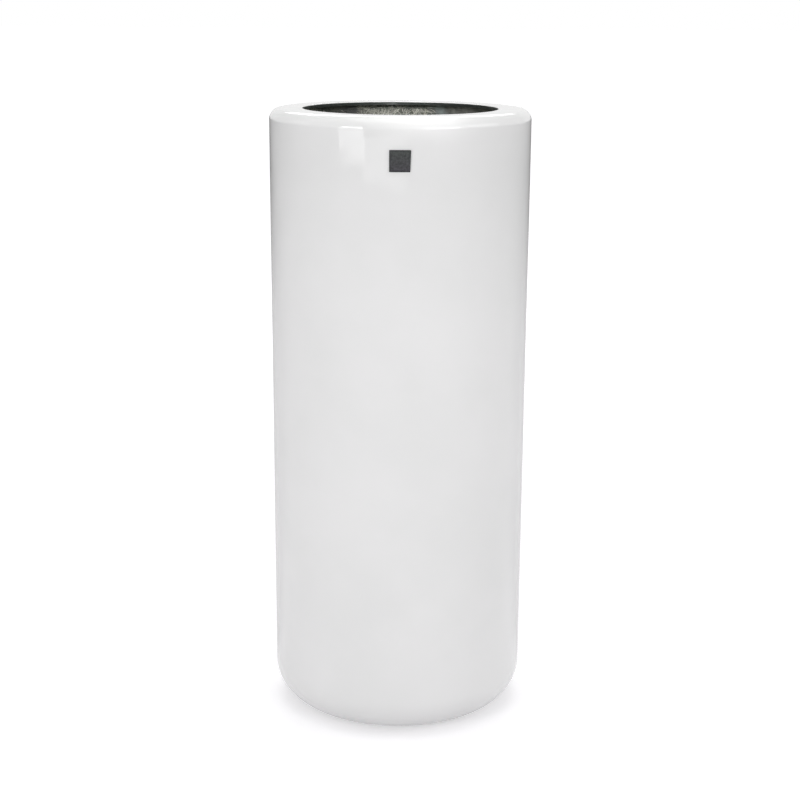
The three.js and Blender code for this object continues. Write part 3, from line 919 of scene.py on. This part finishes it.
def sheet_faces(cells):
    """Faces of a grid's back and front, and of the rim between them."""
    rows = cells + 1
    size = rows * rows
    faces = []
    for j in range(cells):
        for i in range(cells):
            a = j * rows + i
            faces.append((a, a + rows, a + rows + 1, a + 1))
            faces.append((size + a, size + a + 1, size + a + rows + 1, size + a + rows))
    rim = list(range(cells))
    rim += [j * rows + cells for j in range(cells)]
    rim += [cells * rows + i for i in range(cells, 0, -1)]
    rim += [j * rows for j in range(cells, 0, -1)]
    for k, a in enumerate(rim):
        b = rim[(k + 1) % len(rim)]
        faces.append((a, b, size + b, size + a))
    return faces


def bent_sheet(name, low, high, inner, thickness, cells, relief):
    """A square sheet bent round the wall at -Y. relief(u, v) is added to its height."""
    half_height = (high.z - low.z) / 2
    middle = (low.z + high.z) / 2
    vertices = []
    for front in (False, True):
        for j in range(cells + 1):
            for i in range(cells + 1):
                u = 2 * i / cells - 1
                v = 2 * j / cells - 1
                x, z = sheet_point(u, v, high.x, half_height)
                depth = inner + (thickness + relief(u, v) if front else relief(u, v) * 0.3)
                angle = x / inner
                vertices.append((depth * math.sin(angle), -depth * math.cos(angle), middle + z))
    sheet = mesh_object(name, vertices, sheet_faces(cells))
    sharpen(sheet, 35)
    return sheet


def cast_relief(u, v):
    """A low border, a grained middle, and a lower right corner that has lifted a little."""
    edge = 1 - max(abs(u), abs(v))
    border = 0.12 * MM if 0.035 < edge < 0.1 else 0.0
    grain = 0.05 * MM * noise.noise(Vector((u * 9, v * 9, 0.3)))
    corner = max(0.0, u - 0.2) * max(0.0, -v - 0.2)
    return border + grain + 0.12 * MM * corner


def no_relief(u, v):
    return 0.0


def make_label():
    inner = OUTER_RADIUS + LABEL_LIFT
    plate = bent_sheet("label_sheet", plate_low, plate_high, inner, LABEL_THICKNESS, 72, cast_relief)
    place(plate, "planter", "label_plate", label_finish, "label_plate")
    inner = OUTER_RADIUS + FILM_LIFT
    film = bent_sheet("label_film", film_low, film_high, inner, FILM_THICKNESS, 24, no_relief)
    place(film, "planter", "adhesive_film", film_finish, "label_adhesive")


make_skin()
make_laminate()
make_panel()
make_tape()
make_strands()
make_bush()
make_seal()
make_nut()
make_plug()
for pad_index in range(1, 5):
    make_foot_pad(pad_index)
make_label()


# ---------------------------------------------------------------- camera
CAMERA_DISTANCE = 2.5244
CAMERA_HEIGHT = 1.1738
CAMERA_PITCH = math.radians(14.51)
CAMERA_ROLL = 0.006
CAMERA_YAW = 0.00083
FOCAL_LENGTH = 69.87
SENSOR_WIDTH = 36


def make_camera():
    data = bpy.data.cameras.new("camera")
    data.sensor_width = SENSOR_WIDTH
    data.lens = FOCAL_LENGTH
    camera = link("camera", data)
    cos_p, sin_p = math.cos(CAMERA_PITCH), math.sin(CAMERA_PITCH)
    forward = Vector((math.sin(CAMERA_YAW) * cos_p, math.cos(CAMERA_YAW) * cos_p, -sin_p))
    right = Vector((math.cos(CAMERA_YAW), -math.sin(CAMERA_YAW), 0))
    up = right.cross(forward)
    rolled_right = right * math.cos(CAMERA_ROLL) + up * math.sin(CAMERA_ROLL)
    rolled_up = up * math.cos(CAMERA_ROLL) - right * math.sin(CAMERA_ROLL)
    turn = Matrix((rolled_right, rolled_up, -forward)).transposed().to_4x4()
    camera.matrix_world = Matrix.Translation((0, -CAMERA_DISTANCE, CAMERA_HEIGHT)) @ turn
    bpy.context.scene.camera = camera


# ---------------------------------------------------------------- world and floor
WHITE = (1, 1, 1, 1)
AMBIENT = 0.427
BACKDROP_SHEEN = 0.85
CEILING_SHEEN = 0.5
FLOOR_HALF = 60.0
FLOOR_COLOUR = (0.745, 0.735, 0.755, 1)
FAR_FLOOR_COLOUR = (0.12, 0.12, 0.12, 1)
FAR_FLOOR_REACH = (3.5, 9.0)
GLOW_NEAR = 0.42
GLOW_FAR = 0.76
GLOW_REACH = (1.0, 3.5)

# What gloss mirrors of the floor: brightness, the degrees from the back over which it sets in,
# and the metres from the planter over which it fades.
FLOOR_SHEENS = (
    (0.36, (45, 75), (4.0, 10.0)),
    (0.12, (20, 40), (1.6, 5.0)),
)


def make_world():
    """White to the eye. Gloss mirrors a pale backdrop that greys towards the ceiling."""
    n = Nodes("studio", world=True)
    bpy.context.scene.world = n.material
    n.set("Color", WHITE)
    _, _, up = n.separate(n.new("ShaderNodeTexCoord").outputs["Generated"])
    backdrop = n.range(up, 0.15, 0.55, BACKDROP_SHEEN, CEILING_SHEEN, smooth=True)
    mirrored = n.math("MULTIPLY", n.rays("Is Glossy Ray"), backdrop)
    seen = n.math("MAXIMUM", n.rays("Is Camera Ray", "Is Transmission Ray"), mirrored)
    n.set("Strength", n.math("MAXIMUM", seen, AMBIENT))


def floor_sheen(n, turn, away):
    """The brightest of the floor's sheens. turn is the angle from the back, away the distance."""
    brightest = 0.0
    for brightness, degrees, metres in FLOOR_SHEENS:
        start, end = math.radians(degrees[0]), math.radians(degrees[1])
        sheen = n.range(turn, start, end, 0.0, brightness, smooth=True)
        sheen = n.math("MULTIPLY", sheen, n.range(away, *metres, 1.0, 0.0, smooth=True))
        brightest = n.math("MAXIMUM", brightest, sheen)
    return brightest


def floor_material():
    """White to the eye round the shadow. Gloss mirrors it bright at the front and dark far off."""
    n = Nodes("pale_floor")
    here = n.position()
    x, y, _ = n.separate(here)
    turn = n.math("ABSOLUTE", n.math("ARCTAN2", x, y))
    reach = n.new("ShaderNodeVectorMath", operation="LENGTH")
    n.join(here, reach.inputs[0])
    away = reach.outputs["Value"]
    glow = n.range(away, *GLOW_REACH, GLOW_NEAR, GLOW_FAR, smooth=True)
    seen = n.math("MULTIPLY", n.rays("Is Camera Ray", "Is Transmission Ray"), glow)
    glossy = n.rays("Is Glossy Ray")
    mirrored = n.math("MULTIPLY", glossy, floor_sheen(n, turn, away))
    far = n.math("MULTIPLY", glossy, n.range(away, *FAR_FLOOR_REACH, smooth=True))
    n.set("Specular IOR Level", 0.0)
    n.set("Emission Color", WHITE)
    n.set("Emission Strength", n.math("MAXIMUM", seen, mirrored))
    return n.finish(n.mix(far, FLOOR_COLOUR, FAR_FLOOR_COLOUR), 0.9)


def make_floor():
    half = FLOOR_HALF
    corners = [(-half, -half, 0), (half, -half, 0), (half, half, 0), (-half, half, 0)]
    floor = mesh_object("floor", corners, [(0, 1, 2, 3)], smooth=False)
    floor.data.materials.append(floor_material())


# ---------------------------------------------------------------- lamps
BEAM_DEGREES = 1.95
BEAM_SOFTNESS = 0.8
BEAM_RADIUS = 0.04
BEAM_TARGET_HEIGHT = BODY_TOP - 18 * MM


def add_lamp(name, data, place_at, target):
    lamp = link(name, data)
    lamp.location = place_at
    lamp.rotation_euler = (target - place_at).to_track_quat("-Z", "Y").to_euler()


def lamp_facing(name, place_at, target, width, height, radiance):
    """A rectangular lamp of the same radiance all over."""
    data = bpy.data.lights.new(name, "AREA")
    data.shape = "RECTANGLE"
    data.size = width
    data.size_y = height
    data.energy = radiance * math.pi * width * height
    add_lamp(name, data, Vector(place_at), Vector(target))


def soft_box(name, side, low, high, distance, width, radiance):
    """An upright lamp. side is in degrees to the right of the label's direction."""
    angle = math.radians(side)
    middle = (low + high) / 2
    place_at = (distance * math.sin(angle), -distance * math.cos(angle), middle)
    lamp_facing(name, place_at, (0, 0, middle), width, high - low, radiance)


def beam_into_mouth(name, source, aside, watts):
    """A narrow soft beam on the inside of the wall behind the mouth."""
    data = bpy.data.lights.new(name, "SPOT")
    data.energy = watts
    data.spot_size = math.radians(BEAM_DEGREES)
    data.spot_blend = BEAM_SOFTNESS
    data.shadow_soft_size = BEAM_RADIUS
    add_lamp(name, data, Vector(source), Vector((aside, INSIDE_RADIUS, BEAM_TARGET_HEIGHT)))


def make_lamps():
    soft_box("window_left", side=-40.5, low=0.73, high=1.22, distance=2.4, width=0.93, radiance=2.6)
    soft_box("window_middle", side=-13, low=0.6, high=0.8, distance=2.7, width=1.7, radiance=1.1)
    soft_box("key_left", side=-41, low=1.22, high=2.1, distance=4.4, width=1.55, radiance=9.0)
    soft_box("key_right", side=38, low=1.22, high=2.1, distance=4.4, width=2.3, radiance=5.9)
    soft_box("side_right", side=76, low=1.35, high=2.6, distance=3.4, width=1.9, radiance=2.2)
    soft_box("side_left", side=-95, low=1.35, high=2.4, distance=3.4, width=1.6, radiance=0.6)
    lamp_facing("back", (0, 3.2, 3.0), (0, 0, 0.4), width=2.8, height=1.2, radiance=4.4)
    lamp_facing("overhead", (0, -0.2, 3.6), (0, -0.19, 0), width=2.4, height=2.4, radiance=1.75)
    beam_into_mouth("into_mouth_left", (0.22, -3.0, 1.43), aside=-34 * MM, watts=175)
    beam_into_mouth("into_mouth_right", (0.22, -3.0, 1.39), aside=32 * MM, watts=205)


make_camera()
make_world()
make_floor()
make_lamps()
bpy.context.scene.view_settings.view_transform = "Standard"
